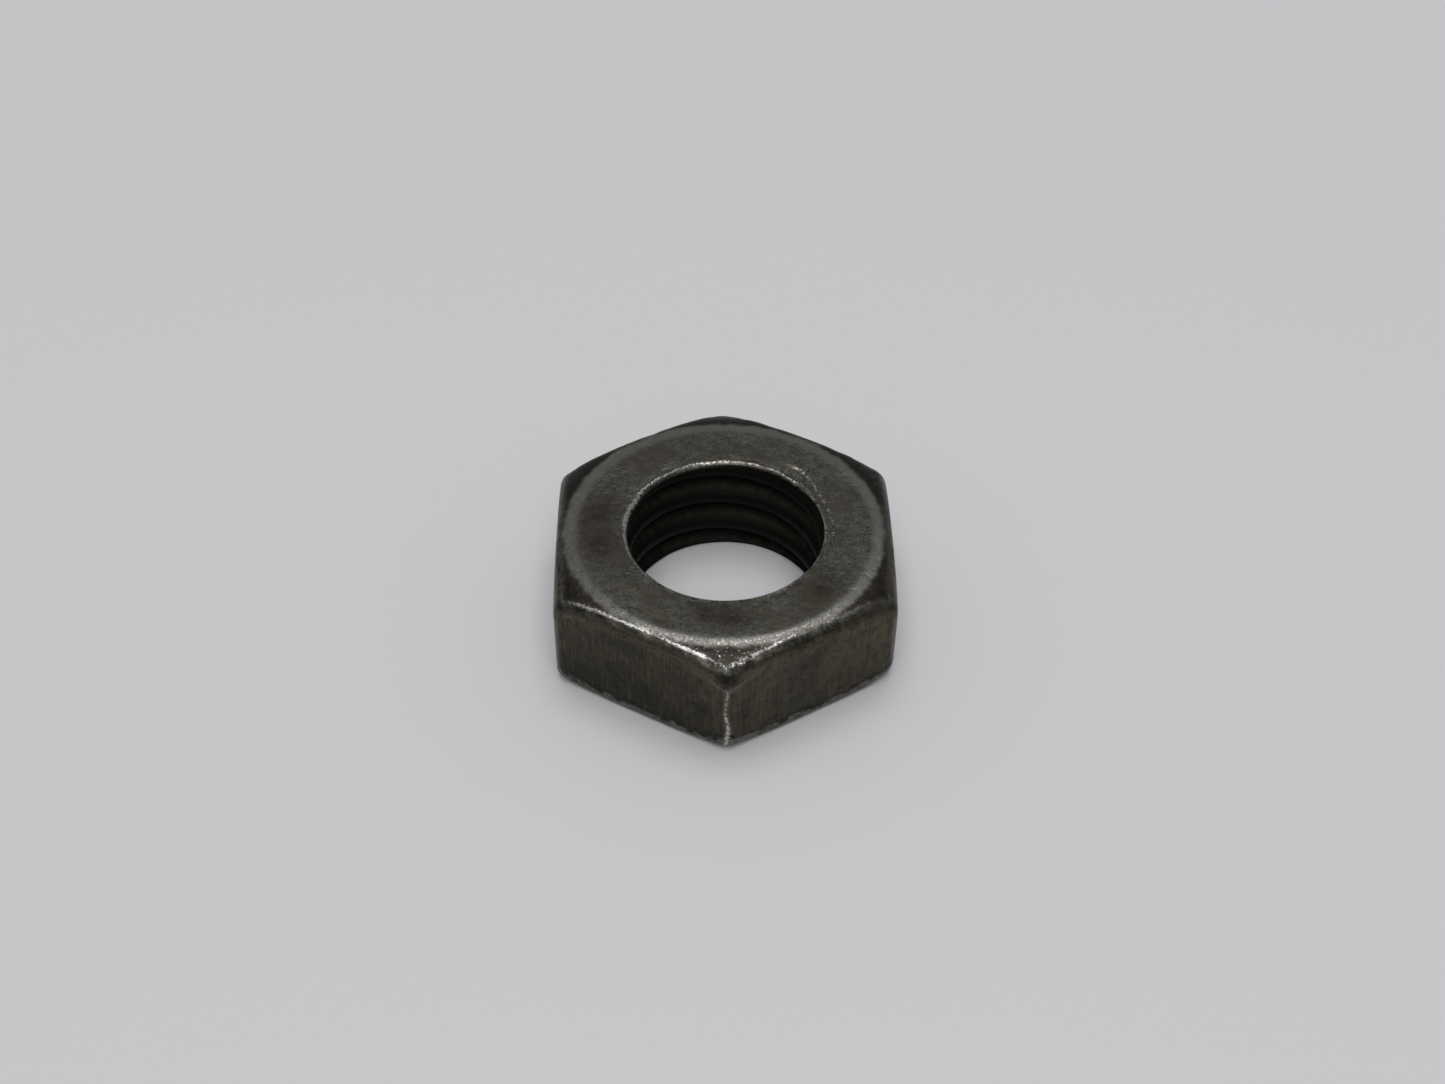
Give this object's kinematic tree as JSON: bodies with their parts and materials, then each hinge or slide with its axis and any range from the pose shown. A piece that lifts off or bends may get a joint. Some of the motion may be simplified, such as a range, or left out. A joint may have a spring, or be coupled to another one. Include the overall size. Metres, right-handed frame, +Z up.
{
  "type": "hex nut",
  "caption": "Thin hexagon jam nut in worn dark steel, with a right-hand threaded bore, chamfered corners on top and rounded mouths.",
  "frame": {"origin": "centre of the bottom face, on the thread's axis", "axes": "+Z up the thread's axis out of the chamfered top face; one corner of the hexagon points to -Y and two opposite flats face +X and -X"},
  "size_m": [0.0142, 0.0164, 0.0049],
  "materials": {
    "steel": "worn dark oxide steel, pitted and lightly rust-stained, rubbed bright along the edges"
  },
  "bodies": {
    "root": {"hex_nut": "steel"}
  },
  "joints": []
}
